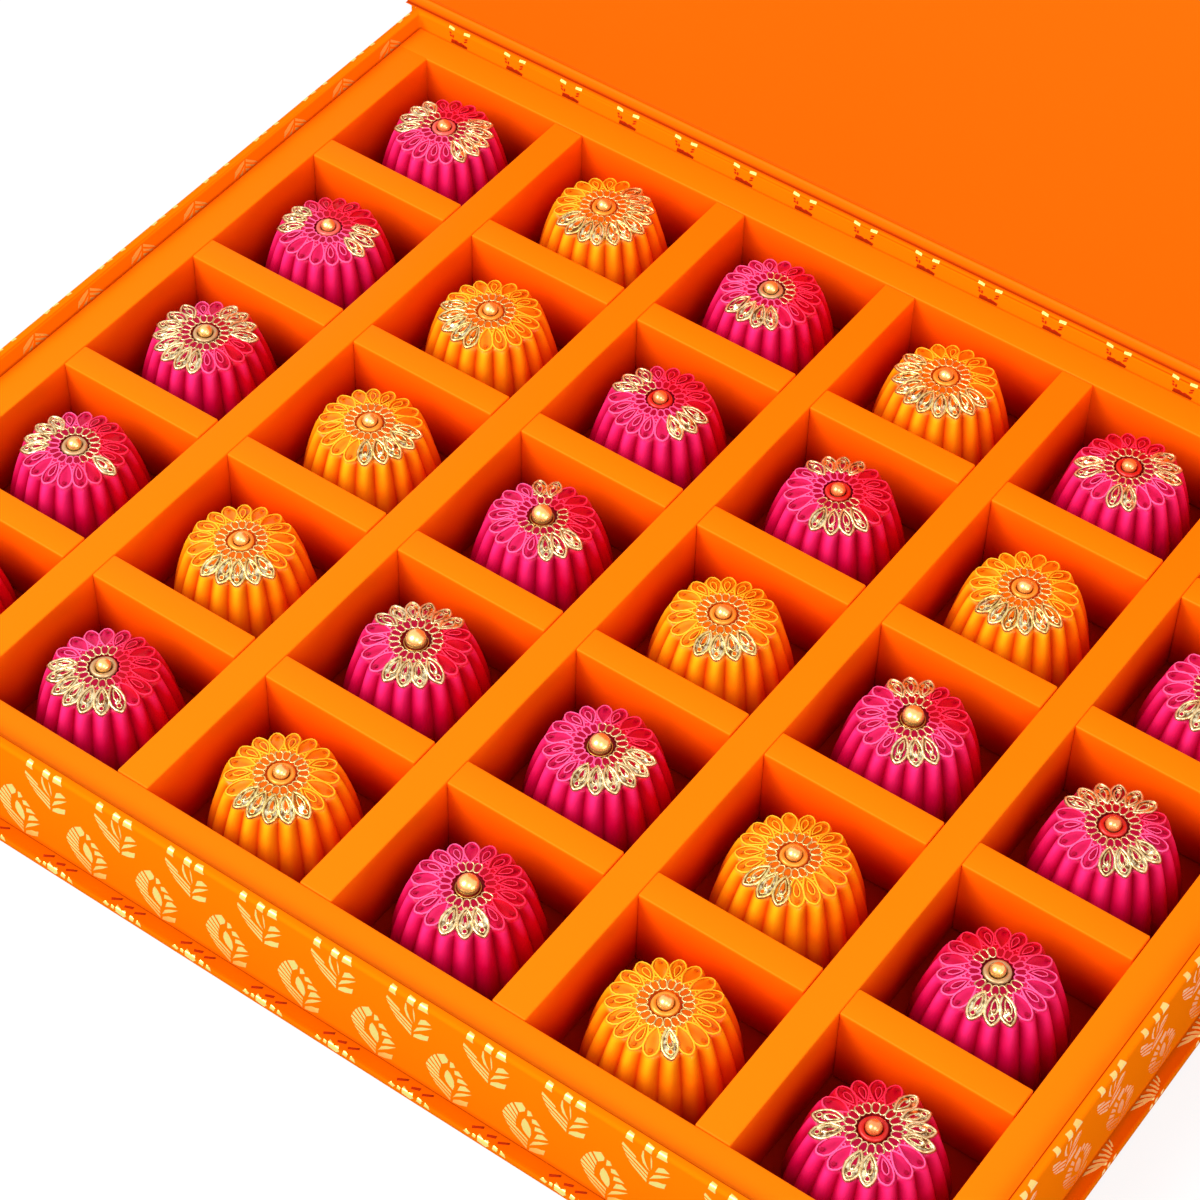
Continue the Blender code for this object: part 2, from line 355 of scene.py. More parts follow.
def paper(name, tone, deep, shade_levels=None, tint_shade=None, gloss=0.09, fibre=0.010):
    """Matt coated paper with fine fibres, with painted shade at some heights and where the piece's tint marks
    it.

    shade_levels are (height in mm, tone) pairs from the floor up, for painted shade. The colour is multiplied
    by the tone. tint_shade is the painted shade tone that the piece's tint mixes in.
    """
    finish = Finish(name, Specular_IOR_Level=gloss)
    slow = finish.grain(9.0, 3.0)
    fine = finish.grain(1500.0)
    long = finish.grain(420.0, 3.0, (1, 0.25, 1))
    base = finish.mix(slow * 0.5 + fine * 0.25, tone, deep)
    if shade_levels:
        top = shade_levels[-1][0]
        stops = [(level / top, shade) for level, shade in shade_levels]
        base = finish.mix(1.0, base, finish.ramp(finish.height() * (1 / (top * MM)), stops), "MULTIPLY")
    if tint_shade:
        base = finish.mix(finish.tint(0), base, tint_shade)
    return finish.done(base, 0.5 + (fine - 0.5) * 0.12, fine * 0.6 + long * 0.4, fibre)


def foil_finish(name, light, deep, painted_reflection=None):
    """Hot-stamped foil, a little uneven where it took to the paper, and below the rim toned to a painted
    reflection if one is given.
    """
    finish = Finish(name, Metallic=0.5)
    fine = finish.grain(900.0)
    slow = finish.grain(120.0)
    base = finish.mix(slow, light, deep)
    if painted_reflection:
        near_rim = finish.node("ShaderNodeMapRange", {0: finish.height(), 1: DULL_BELOW, 2: BRIGHT_ABOVE})
        base = finish.mix(near_rim, painted_reflection, base)
    return finish.done(base, 0.24 + fine * 0.12, fine, 0.01)


def shell_finish(name, body, blush_and_shade, painted_shade, crest, gloss=0.16):
    """Coloured cocoa butter, redder on one side: partly a real spray and partly painted shade. Painted shade
    deepens the grooves, the foot, the hollows and the collar round the pearl, and a painted highlight
    lightens the crests.
    """
    finish = Finish(name, Specular_IOR_Level=gloss, Coat_Weight=gloss * 0.6, Coat_Roughness=0.2)
    cloud = finish.grain(240.0, 3.0)
    fine = finish.grain(1400.0)
    red = (finish.tint(0) + (cloud - 0.5) * 0.5).clamped()
    base = finish.mix(red, body, blush_and_shade)
    base = finish.mix((finish.tint(2) * 0.9 - red * 0.35).clamped(), base, crest)
    base = finish.mix((finish.tint(1) + (cloud - 0.5) * 0.2).clamped(), base, painted_shade)
    return finish.done(base, 0.34 + fine * 0.1, cloud * 0.7 + fine * 0.3, 0.05)


def gold_finish(name, light, deep, roughness, patchy=0.5, metallic=1.0, relief=0.06, coat=0.0):
    """Gold brushed on by hand: patches of a deeper tone, over a slightly rough ground."""
    finish = Finish(name, Metallic=metallic, Coat_Weight=coat, Coat_Roughness=0.16)
    fine = finish.grain(1100.0)
    slow = finish.grain(300.0)
    base = finish.mix(((fine - 0.5) * patchy + slow).clamped(), light, deep)
    return finish.done(base, roughness + fine * 0.12, slow * 0.6 + fine * 0.4, relief)


ORANGE = ((0.93, 0.19, 0.001), (0.9, 0.176, 0.001))
FULL_TONE = (1, 1, 1)
# Wall paper: painted shadow darkens the wall's foot by the ledge, and the rim's inner edge where the tint
# marks it
WALL_PAPER = paper("wall_orange_paper", *ORANGE, tint_shade=(0.4, 0.02, 0.0), gloss=0.0, shade_levels=(
    (0.0, (0.12, 0.02, 1)), (3.2, (0.16, 0.04, 1)), (3.7, (0.92, 0.7, 1)), (5.0, FULL_TONE)))
PRINTED = paper("printed_orange_paper", *ORANGE, gloss=0.0)
# Base paper: the ledge's top face is darker and redder, painted shade beside the wall
BASE_PAPER = paper("base_orange_paper", (0.88, 0.18, 0.001), (0.84, 0.165, 0.001), gloss=0.0, shade_levels=(
    (0.0, FULL_TONE), (1.9, FULL_TONE), (2.25, (0.92, 0.56, 0)), (2.4, (0.92, 0.56, 0))))
# Tray paper: darker and redder towards the floor of each compartment, painted shade
TRAY_PAPER = paper("tray_orange_paper", (0.96, 0.208, 0.001), (0.93, 0.192, 0.001), gloss=0.06, shade_levels=(
    (0.0, (0.36, 0.005, 0)), (4.0, (0.48, 0.004, 0)), (9.0, (0.68, 0.045, 0)), (14.0, (0.88, 0.25, 0)),
    (19.0, (0.98, 0.5, 0.2)), (23.7, (1, 0.68, 0.5)), (24.15, FULL_TONE), (24.3, FULL_TONE)))
# The tray's floor: a dark red tone, painted shade at the bottom of the compartments
SHADED_FLOOR_CARD = paper("tray_floor_painted_shade", (0.38, 0.009, 0.0), (0.33, 0.007, 0.0), gloss=0.04)
LINER_PAPER = paper("liner_orange_paper", (0.97, 0.143, 0.001), (0.95, 0.134, 0.001), fibre=0.006)
# Hinge paper: painted shade in its creases, where the tint marks it
HINGE_PAPER = paper("hinge_orange_paper", (0.97, 0.165, 0.001), (0.95, 0.155, 0.001),
                    tint_shade=(0.4, 0.03, 0.0), gloss=0.04, fibre=0.006)
FOIL = foil_finish("gold_foil", (0.8, 0.71, 0.165), (0.74, 0.63, 0.13))
# The right wall's foil: below the rim an orange tone, painted reflection of the surroundings at a grazing
# angle
SIDE_FOIL_PAINTED_REFLECTION = foil_finish("gold_foil_side_painted_reflection", (1.0, 0.74, 0.24), (0.8, 0.5, 0.12), painted_reflection=(0.88, 0.3, 0.045))
# The side ledges' fans: the foil made lighter, painted light that keeps them bright on the shaded ledge
LIT_LEDGE_FOIL = foil_finish("gold_foil_ledge_painted_light", (1.0, 0.76, 0.28), (0.94, 0.66, 0.2))
# The same foil toned dark red, painted shade: the print on the back wall's inner face and on the ledge's top
SHADED_FOIL = foil_finish("gold_foil_painted_shade", (0.5, 0.045, 0.004), (0.4, 0.03, 0.003))
# Chocolate colours: body, redder side (partly painted shade), painted shade, and painted highlight on the
# crests
PINK = shell_finish("pink_chocolate", (0.7, 0.0, 0.075), (0.72, 0.0, 0.012), (0.27, 0.0, 0.006),
                    (1.0, 0.035, 0.24), gloss=0.11)
PINK_LACE = shell_finish("pink_lace", (0.96, 0.085, 0.28), (0.9, 0.016, 0.06), (0.7, 0.01, 0.12),
                         (1.0, 0.15, 0.39))
# Dark discs in the lace's openings: painted shade
PINK_HOLE_SHADE = shell_finish("pink_hole_painted_shade", (0.3, 0.0, 0.03), (0.4, 0.0, 0.008), (0.26, 0.0, 0.008),
                         (0.5, 0.001, 0.03), gloss=0.1)
YELLOW = shell_finish("yellow_chocolate", (1.0, 0.28, 0.001), (1.0, 0.16, 0.001), (0.62, 0.009, 0.0),
                      (1.0, 0.48, 0.006))
YELLOW_LACE = shell_finish("yellow_lace", (1.0, 0.5, 0.012), (1.0, 0.34, 0.006), (1.0, 0.25, 0.0),
                           (1.0, 0.56, 0.03))
# Dark discs in the lace's openings: painted shade
YELLOW_HOLE_SHADE = shell_finish("yellow_hole_painted_shade", (0.62, 0.1, 0.0), (0.58, 0.06, 0.0), (0.4, 0.03, 0.0),
                           (0.86, 0.17, 0.002), gloss=0.1)
GILT = gold_finish("edible_gold", (0.96, 0.78, 0.45), (0.5, 0.3, 0.11), 0.2, 2.2, metallic=0.8)
YELLOW_GILT = gold_finish("edible_gold_on_yellow", (0.97, 0.82, 0.36), (0.52, 0.32, 0.07), 0.2, 2.2,
                          metallic=0.8)
LEAF_GOLD = gold_finish("broken_gold_leaf", (1.0, 0.9, 0.58), (0.2, 0.07, 0.016), 0.16, 4.0)
PEARL = gold_finish("gold_pearl", (0.94, 0.7, 0.25), (0.8, 0.5, 0.11), 0.22, metallic=0.82,
                    relief=0.012, coat=0.8)
RUDDY_PEARL = gold_finish("ruddy_pearl", (0.92, 0.48, 0.14), (0.8, 0.2, 0.05), 0.22, metallic=0.7,
                          relief=0.012, coat=0.8)
THIN_RING = gold_finish("thin_gold_ring", (0.62, 0.36, 0.09), (0.34, 0.11, 0.02), 0.26)
ORANGE_CUP = gold_finish("orange_cup", (0.96, 0.36, 0.03), (0.84, 0.24, 0.015), 0.3, metallic=0.35)
RED_CUP = gold_finish("red_cup", (0.74, 0.02, 0.012), (0.52, 0.006, 0.006), 0.28, metallic=0.25)
BEIGE_CUP = gold_finish("beige_cup", (0.66, 0.44, 0.22), (0.48, 0.25, 0.1), 0.28, metallic=0.5)
CORAL_CUP = gold_finish("coral_cup", (0.82, 0.17, 0.13), (0.68, 0.08, 0.06), 0.3, metallic=0.3)


# Covered boards and the hinge


def paint(obj, colour_of):
    """Paints the tint that the piece's finish reads with the red, green and blue of each point."""
    tint = obj.data.attributes.new("tint", "FLOAT_COLOR", "POINT")
    for vert, painted in zip(obj.data.vertices, tint.data):
        painted.color = (*colour_of(vert), 1.0)


def make_case_walls():
    """One wrapped wall that runs round the tray: a ring with rounded rims and corners."""
    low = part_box("front_wall")[0]
    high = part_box("back_wall")[1]
    middle = (low + high) / 2
    lay_down()
    bpy.ops.mesh.primitive_plane_add(size=1.0, location=(middle.x, middle.y, low.z))
    obj = bpy.context.object
    obj.name = "case_walls"
    obj.scale = (high.x - low.x - 2 * PAPER_LIFT, high.y - low.y - 2 * PAPER_LIFT, 1.0)
    settle(obj)
    edit_all()
    bpy.ops.mesh.inset(thickness=WALL_THICKNESS, depth=0.0)
    bpy.ops.mesh.delete(type="FACE")
    bpy.ops.mesh.select_all(action="SELECT")
    draw_out(z=high.z - low.z - PAPER_LIFT)
    close_up()
    round_edges(obj, WALL_ROUND)
    inner_x = high.x - WALL_THICKNESS
    inner_y = low.y + WALL_THICKNESS
    near, far = 0.1 * MM, WALL_ROUND * 0.8

    def shaded(vert):
        """Painted shadow: the rim's inner edge in front and on the right is darkened as the shadow of the gap
        by the tray.
        """
        shade = 0.0
        if 0.1 < (high.z - PAPER_LIFT - vert.co.z) / WALL_ROUND < 0.75:
            if inner_x - near < vert.co.x < inner_x + far:
                shade = 1.0
            elif inner_y - far < vert.co.y < inner_y + near:
                shade = 0.6
        return shade, 0.0, 0.0

    # Painted shadow along the rim's inner edge, in front and on the right
    paint(obj, shaded)
    obj.data.materials.append(WALL_PAPER)
    mind(obj, "case", "printed_paper", "front_wall", "back_wall", "left_wall", "right_wall")


def make_base_and_spine():
    shrink = Vector((PAPER_LIFT, PAPER_LIFT, 0))
    for piece, finish in (("base", BASE_PAPER), ("spine", PRINTED)):
        low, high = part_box(f"{piece}_board")
        panel = board(f"{piece}_panel", low + shrink, high - shrink, BOARD_ROUND, finish)
        mind(panel, "case", "printed_paper", f"{piece}_board")


def make_tray():
    """Rails and dividers, each a covered board. The cross dividers stop at every long one."""
    names = [f"tray_rail_{side}" for side in ("front", "back", "left", "right")]
    front, back, left, right = (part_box(name) for name in names)
    long_ones = [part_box(f"long_divider_{n}") for n in range(1, COLUMNS)]
    bottom, top = front[0].z, front[1].z
    x_low, x_high = left[0].x, right[1].x
    inner_front, inner_back = front[1].y, back[0].y
    side_front, side_back = inner_front - RAIL_OVERLAP, inner_back + RAIL_OVERLAP
    side_top = top - SEAM / 4
    rails = [board("rail", low, high, TRAY_ROUND, TRAY_PAPER) for low, high in (
        ((x_low, front[0].y, bottom), (x_high, inner_front, top)),
        ((x_low, inner_back, bottom), (x_high, back[1].y, top)),
        ((x_low, side_front, bottom), (left[1].x, side_back, side_top)),
        ((right[0].x, side_front, bottom), (x_high, side_back, side_top)))]
    mind(unite("tray_frame", rails), "case", "tray_paper", *names)
    for n, (low, high) in enumerate(long_ones, 1):
        obj = board(f"long_partition_{n}", (low.x, inner_front + SEAM, bottom),
                    (high.x, inner_back - SEAM, top), TRAY_ROUND, TRAY_PAPER)
        mind(obj, "case", "tray_paper", f"long_divider_{n}")
    ends = [left[1].x] + [edge for low, high in long_ones for edge in (low.x, high.x)] + [right[0].x]
    for n in range(1, ROWS):
        low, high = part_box(f"cross_divider_{n}")
        pieces = [board("cross", (a + SEAM / 3, low.y, bottom), (b - 2 * SEAM, high.y, top), TRAY_ROUND,
                        TRAY_PAPER) for a, b in zip(ends[::2], ends[1::2])]
        mind(unite(f"cross_partition_{n}", pieces), "case", "tray_paper", f"cross_divider_{n}")


def hinge_turn():
    """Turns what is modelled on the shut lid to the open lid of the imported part."""
    joint = next(j for j in frame["joints"] if j["name"] == "lid_hinge")
    axis = Vector(joint["pos_m"])
    angle = math.radians(joint["range_deg"][0])
    return Matrix.Translation(axis) @ Matrix.Rotation(angle, 4, "X") @ Matrix.Translation(-axis), axis


def shut_box(node, back):
    """The lowest and highest corners of a node of the lid once it is turned back to the shut lid."""
    points = [back @ v.co for v in frame["nodes"][node].data.vertices]
    return [Vector(pick(point[i] for point in points) for i in range(3)) for pick in (min, max)]


def make_lid(turn):
    """The lid's board and its plain lining, laid shut and then turned open."""
    low, high = shut_box("lid_board", turn.inverted())
    inner_low, inner_high = shut_box("lid_liner", turn.inverted())
    inner_high.z = low.z + PAPER_LIFT
    shrink = Vector((PAPER_LIFT,) * 3)
    for name, node, slot, *form in (
            ("lid_panel", "lid_board", "printed_paper", low + shrink, high - shrink, BOARD_ROUND, PRINTED),
            ("lid_lining", "lid_liner", "liner_paper", inner_low, inner_high, LINING_ROUND, LINER_PAPER)):
        piece = board(name, *form)
        piece.data.transform(turn)
        mind(piece, "lid", slot, node)
    return low, high


# Out from the hinge and up from it, in mm, and how much painted shade that line of the paper takes in the
# creases
HINGE_PROFILE = (
    (-2.75, -1.56, 0), (-2.52, -1.52, 0.5), (-2.34, -1.52, 1.0), (-2.1, -1.46, 1.0), (-1.96, -1.16, 0.6),
    (-1.9, -0.75, 0.15), (-1.84, -0.35, 0), (-1.76, 0.05, 0), (-1.62, 0.38, 0), (-1.42, 0.62, 0),
    (-1.18, 0.74, 0), (-0.98, 0.72, 0.1), (-0.82, 0.62, 0.3), (-0.7, 0.62, 0.35), (-0.58, 0.86, 0.3),
    (-0.42, 1.16, 0.2), (0.05, 1.3, 0), (0.45, 1.18, 0), (0.8, 0.85, 0), (0.95, 0.3, 0),
    (0.95, -0.3, 0), (0.92, -0.85, 0), (0.8, -1.25, 0), (-0.9, -1.28, 0), (-1.2, -1.52, 0),
)


def make_hinge_paper(axis):
    """The rounded paper joint from the back wall's rim to the lid."""
    low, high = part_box("hinge_joint")
    obj = disc(len(HINGE_PROFILE), MM)
    obj.name = "hinge_paper"
    for vert, (out, up, _) in zip(obj.data.vertices, HINGE_PROFILE):
        vert.co = (low.x + PAPER_LIFT, axis.y + out * MM, axis.z + up * MM)
    edit_all()
    draw_out(x=high.x - low.x - 2 * PAPER_LIFT)
    close_up()
    smooth(obj, angle=45)

    def painted_crease_shade(vert):
        out, up = (vert.co.y - axis.y) / MM, (vert.co.z - axis.z) / MM
        return min(HINGE_PROFILE, key=lambda line: abs(line[0] - out) + abs(line[1] - up))[2], 0.0, 0.0

    # Painted shade in the creases of the joint
    paint(obj, painted_crease_shade)
    obj.data.materials.append(HINGE_PAPER)
    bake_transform(obj)
    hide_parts("hinge_joint")


# Foil print


def outlines(*rows):
    """Outlines from rows that give x and y in turn, in mm."""
    return [list(zip(row[::2], row[1::2])) for row in rows]


FOOT_STROKES = outlines(
    (0.3, -0.5, 2, -0.1, 3.7, 0.9, 4, 2.7, 3.1, 2.2, 2, 1.8, 0.45, 0.5),
    (0.4, 1.1, 1.2, 1.9, 3.2, 3.8, 4.8, 5.7, 2.4, 4.3, 1.2, 3.2),
    (1.5, 4.3, 4.6, 6.5, 3.3, 7.2, 2.1, 6.4),
    (-2.45, 4.95, -2.45, 5.6, -5.35, 7.7, -5.6, 6.7),
    (0.15, 2, 0.2, 2.8, -2.3, 4.6, -5.5, 6.3, -5, 5.2, -2.2, 3.6),
    (0, 0.8, 0.1, 1.6, -2.4, 3.3, -4.9, 4.8, -4.4, 3.8, -2.1, 2.3),
    (-0.1, -0.5, 0, 0.4, -1.9, 1.9, -4.1, 3.3, -3.3, 2.1, -1.5, 0.6),
)
LEAF = FOOT_STROKES + outlines(
    (0.55, 3.5, 0.95, 5, 0.85, 6.8, 0.2, 8.3, -0.6, 9.1, -1.2, 8, -1.45, 6.4, -1.05, 5, -0.2, 4),
    (1.5, 6.9, 4, 8, 2.8, 8.8, 1.6, 8.3),
    (1, 8.9, 2.9, 9.4, 1.9, 10.7, 0.9, 10.2),
    (-0.1, 10.2, 0.5, 10.5, 1.25, 11.2, 0.8, 12.3, 0, 12.2),
    (-1.75, 9.9, -0.5, 11.2, -0.3, 12.3, -1.2, 13.5, -3, 12.1),
    (-2.1, 8.3, -2, 9.5, -3.35, 11.7, -3.95, 10.8),
    (-2.35, 7.1, -2.3, 8, -4.15, 10.5, -4.65, 9.5),
    (-2.5, 5.95, -2.45, 6.8, -4.8, 9.15, -5.2, 8.1),
)
RIM_LEAF = FOOT_STROKES + outlines(
    (0.45, 3.5, -0.2, 4.9, -0.75, 6.8, -0.85, 8.8, -1.2, 8.8, -1.5, 6.8, -1.1, 5, -0.2, 4),
    (0.75, 4.2, 1, 5.4, 0.95, 7.2, 0.55, 8.7, 0.45, 6.9),
    (-0.9, 9.3, 0.7, 9, 0.9, 10.9, -0.7, 11.2),
    (1.6, 9.2, 4.1, 9.5, 3.3, 11.3, 1.9, 11.1),
    (-4.9, 9.3, -3.2, 9.1, -3.4, 11.1, -4.7, 11.3),
)

RIM_PRINT = outlines(
    (-2.9, 3.95, -1.3, 3.75, -1.4, 4.35, -3, 4.6),
    (1.4, 3.75, 3, 3.95, 2.9, 4.6, 1.3, 4.35),
)
# Print on the back wall's inner face, laid in the dark foil that is painted shade
INSIDE_PRINT = outlines(
    (-2.3, 0.1, 2.2, 0.1, 2.4, 0.8, 0.6, 1.3, 0.1, 1, -0.5, 1.35, -2.1, 1.2),
    (-2.7, 2.7, -2.2, 2.5, -2.1, 2.9, -2.6, 3.2),
    (-2.6, 1.9, -2.1, 1.7, -2, 2.2, -2.5, 2.4),
    (-1.9, 1.7, -1.5, 1.6, -1.4, 2.4, -1.8, 2.6),
    (1.5, 1.6, 2.3, 2.1, 2.3, 2.5, 1.4, 2),
    (1.7, 2.4, 2.5, 2.8, 2.4, 3.2, 1.6, 2.8),
)

# The ledge: in front, bits on its edge and strokes on its top that mirror the wall, the strokes in dark foil
# that is painted shade. At the sides, a fan in lighter foil that is painted light
LEDGE_BITS = outlines(
    (-4.9, 1.2, -3.8, 0.9, -3.3, 1.6, -4.4, 1.9),
    (-2.9, 1.2, -2.2, 1.1, -2.1, 1.8, -2.8, 1.9),
    (-1.7, 0.7, 0.2, 0.4, 0.9, 1.2, 0.4, 2.3, -0.4, 1.8, -1.8, 2.5),
    (1.6, 1, 2.6, 0.9, 2.8, 1.8, 1.8, 2.1),
    (3.3, 0.9, 4.6, 0.8, 4.4, 1.6, 3.5, 1.9),
)
LEDGE_STROKES = outlines(
    (-3.6, 2.6, -1.8, 3.7, -1.9, 4.2, -3.9, 3.1),
    (-0.4, 2.7, 1.2, 3.3, 1.1, 3.9, -0.6, 3.2),
    (2.1, 2.6, 4, 3.7, 3.8, 4.1, 1.9, 3.1),
)
LEDGE_FAN = outlines(
    (-5.4, 4.1, -4.6, 4.25, -2.4, 3.2, -0.9, 2.6, -1.3, 2.4, -3, 2.9),
    (-3.6, 4.2, -3.1, 4.25, -1.4, 3.3, -0.2, 2, -0.8, 1.9, -1.9, 2.9),
    (-1.9, 4.1, -1.4, 4.2, -0.1, 3.2, 0.4, 2.1, -0.2, 2.2, -0.7, 3),
    (0, 4, 0.5, 4.1, 1.1, 3.1, 1.2, 2.1, 0.7, 2.2, 0.6, 3),
    (1.5, 4.2, 1.9, 4.1, 2.1, 3.1, 1.9, 2.2, 1.5, 2.3, 1.6, 3.1),
    (2.8, 4.2, 3.1, 4.1, 3, 3.3, 2.6, 2.5, 2.3, 2.7, 2.6, 3.3),
    (3.9, 4.25, 4.2, 4.1, 3.9, 3.4, 3.3, 2.8, 3.1, 3.1, 3.6, 3.6),
    (-2.4, 1.6, -1.5, 1.7, -1.4, 0.9, -2.5, 0.8),
    (-0.5, 1.6, 0.4, 1.6, 0.3, 0.5, -0.5, 0.6),
    (1.6, 1.6, 2.6, 1.6, 2.3, 0.7, 1.6, 0.8),
)


def slimmed(strokes):
    """The strokes with every corner drawn in a little."""
    drawn = []
    for outline in strokes:
        points = [Vector(point) for point in outline]
        ahead, behind = points[1:] + points[:1], points[-1:] + points[:-1]
        wound = sum(a.x * b.y - b.x * a.y for a, b in zip(points, ahead))
        inner = []
        for before, at, after in zip(behind, points, ahead):
            along = (at - before).normalized() + (after - at).normalized()
            inward = Vector((-along.y, along.x)).normalized() * math.copysign(STROKE_SLIMMING, wound)
            inner.append(tuple(at + inward))
        drawn.append(inner)
    return drawn


def cutouts(strokes, spots=((0, 0),)):
    """Flat printed shapes: filled circles whose corners are drawn out to an outline."""
    shapes = []
    for spot in spots:
        for outline in strokes:
            shape = disc(len(outline), MM)
            for vert, (x, y) in zip(shape.data.vertices, outline):
                vert.co = (spot[0] + x * MM, spot[1] + y * MM, 0)
            shapes.append(shape)
    obj = unite("cutouts", shapes)
    for face in obj.data.polygons:
        if face.normal.z < 0:
            face.flip()
    return obj


def rounded_route(corners, radius):
    """A line of (out, up) points, its inner corners rounded in the same steps as the boards."""
    corners = [Vector(corner) for corner in corners]
    points = corners[:1]
    for before, corner, after in zip(corners, corners[1:], corners[2:]):
        start = corner + (before - corner).normalized() * radius
        end = corner + (after - corner).normalized() * radius
        centre = start + end - corner
        for step in range(ROUND_STEPS + 1):
            turn = math.pi / 2 * step / ROUND_STEPS
            points.append(centre + (start - centre) * math.cos(turn) + (end - centre) * math.sin(turn))
    points.append(corners[-1])
    lengths = [0.0]
    for a, b in zip(points, points[1:]):
        lengths.append(lengths[-1] + (b - a).length)
    return points, lengths


def on_face(out, reach, middle_y=0.0):
    """Lays a strip's points on an upright face that looks out this way at this distance."""
    along = (-out[1], out[0])

    def place(u, point):
        x, y = (away * (reach + point.x) + side * u for away, side in zip(out, along))
        return Vector((x, y + middle_y, point.y))

    return place


def print_sheet(unit, spread, route, place, start, cover, finish):
    """Foil shapes repeated over a strip, trimmed to it, wrapped along the route and given a thickness.

    The strip runs along u from -spread to spread and up the route. place() lays it in the part's frame.
    start is where the first repeat lies, in mm. cover is the pitch both ways.
    """
    points, lengths = route
    pitch, rise = cover
    first = start[0] * MM
    obj = add_object("foil", unit.data.copy())
    obj.location = (first - pitch * math.ceil((spread + first) / pitch), start[1] * MM - rise, 0)
    settle(obj)
    for room, step in ((2 * spread / pitch, (pitch, 0, 0)), (lengths[-1] / rise, (0, rise, 0))):
        modify(obj, "ARRAY", count=math.ceil(room) + 2, use_relative_offset=False, use_constant_offset=True,
               constant_offset_displace=step)
    edges = [((spread, 0, 0), (1, 0, 0)), ((-spread, 0, 0), (-1, 0, 0)), ((0, lengths[-1], 0), (0, 1, 0)),
             ((0, 0, 0), (0, -1, 0))]
    folds = [((0, length, 0), (0, 1, 0)) for length in lengths[1:-1]]
    bpy.ops.object.mode_set(mode="EDIT")
    for point, normal in edges + folds:
        bpy.ops.mesh.select_all(action="SELECT")
        bpy.ops.mesh.bisect(plane_co=point, plane_no=normal, clear_outer=(point, normal) in edges)
    bpy.ops.object.mode_set(mode="OBJECT")
    directions = [(b - a).normalized() for a, b in zip(points, points[1:])]
    for vert in obj.data.vertices:
        u, v = vert.co.x, vert.co.y
        step = max(n for n in range(len(directions)) if lengths[n] <= v + 1e-7 or n == 0)
        at = points[step] + directions[step] * (v - lengths[step])
        facing = directions[step]
        if abs(v - lengths[step]) < 1e-6 and step:
            facing = (directions[step] + directions[step - 1]).normalized()
        vert.co = place(u, at + Vector((facing.y, -facing.x)) * FOIL_LIFT)
    modify(obj, "SOLIDIFY", thickness=FOIL_THICKNESS, offset=-1.0)
    obj.data.materials.append(finish)
    return obj


